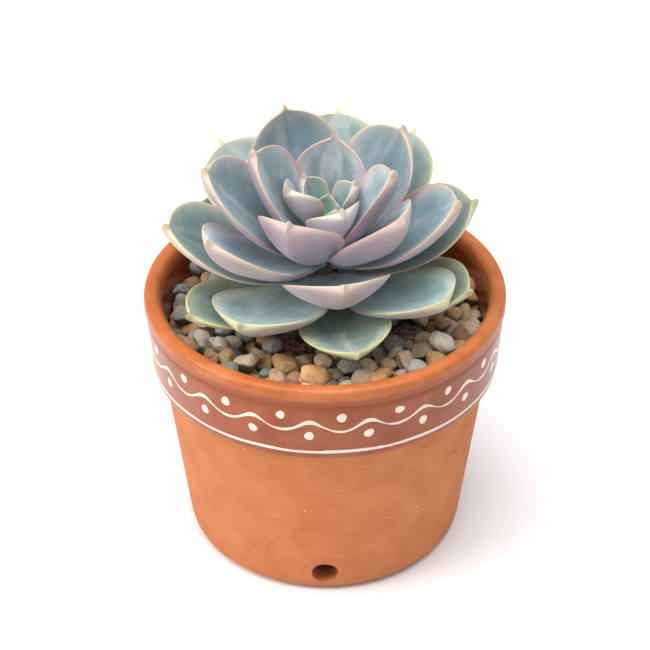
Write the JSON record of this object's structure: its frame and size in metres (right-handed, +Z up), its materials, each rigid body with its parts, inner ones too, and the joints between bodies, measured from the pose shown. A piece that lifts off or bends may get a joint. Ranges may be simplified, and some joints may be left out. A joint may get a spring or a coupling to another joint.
{
  "type": "potted echeveria",
  "caption": "Leaning rosette of thick, pointed succulent leaves on a short stem, set in soil and gravel in a tapered terracotta pot with a glazed, slip-painted collar.",
  "frame": {"origin": "middle of the flat underside of the pot", "axes": "+Z up; the rosette leans towards -Y, the side that is looked at, where the drain hole is; +X to that viewer's right"},
  "size_m": [0.12, 0.12, 0.1468],
  "materials": {
    "terracotta": "clear-glazed collar with cream slip marks over a matte orange clay body",
    "soil": "dark, crumbly potting soil",
    "gravel": "mixed beige, ochre, brown and grey river pebbles",
    "stem": "dull, woody succulent stem",
    "dry_husk": "papery purple-brown dried leaf",
    "skirt_leaf": "sage green waxy leaf with yellow-green margin",
    "outer_leaf": "blue-green powdery leaf with cream-green margin",
    "middle_leaf": "grey-blue powdery leaf with lavender underside and pink margin",
    "inner_leaf": "blue-grey powdery leaf with lavender-pink underside and pink margin",
    "heart_leaf": "young green powdery leaf with cream margin",
    "bud_leaf": "small fresh green leaf"
  },
  "bodies": {
    "root": {"bud_leaf_1": "bud_leaf", "bud_leaf_2": "bud_leaf", "bud_leaf_3": "bud_leaf", "dry_husk_1": "dry_husk", "dry_husk_2": "dry_husk", "gravel_bed": "gravel", "heart_leaf_1": "heart_leaf", "heart_leaf_2": "heart_leaf", "heart_leaf_3": "heart_leaf", "heart_leaf_4": "heart_leaf", "inner_leaf_1": "inner_leaf", "inner_leaf_2": "inner_leaf", "inner_leaf_3": "inner_leaf", "inner_leaf_4": "inner_leaf", "inner_leaf_5": "inner_leaf", "loose_stone_1": "gravel", "loose_stone_10": "gravel", "loose_stone_11": "gravel", "loose_stone_12": "gravel", "loose_stone_13": "gravel", "loose_stone_14": "gravel", "loose_stone_15": "gravel", "loose_stone_16": "gravel", "loose_stone_2": "gravel", "loose_stone_3": "gravel", "loose_stone_4": "gravel", "loose_stone_5": "gravel", "loose_stone_6": "gravel", "loose_stone_7": "gravel", "loose_stone_8": "gravel", "loose_stone_9": "gravel", "middle_leaf_1": "middle_leaf", "middle_leaf_2": "middle_leaf", "middle_leaf_3": "middle_leaf", "middle_leaf_4": "middle_leaf", "middle_leaf_5": "middle_leaf", "middle_leaf_6": "middle_leaf", "outer_leaf_1": "outer_leaf", "outer_leaf_2": "outer_leaf", "outer_leaf_3": "outer_leaf", "outer_leaf_4": "outer_leaf", "outer_leaf_5": "outer_leaf", "outer_leaf_6": "outer_leaf", "outer_leaf_7": "outer_leaf", "outer_leaf_8": "outer_leaf", "outer_leaf_9": "outer_leaf", "potting_soil": "soil", "skirt_leaf_1": "skirt_leaf", "skirt_leaf_2": "skirt_leaf", "skirt_leaf_3": "skirt_leaf", "skirt_leaf_4": "skirt_leaf", "skirt_leaf_5": "skirt_leaf", "skirt_leaf_6": "skirt_leaf", "stem": "stem", "terracotta_pot": "terracotta"}
  },
  "joints": []
}
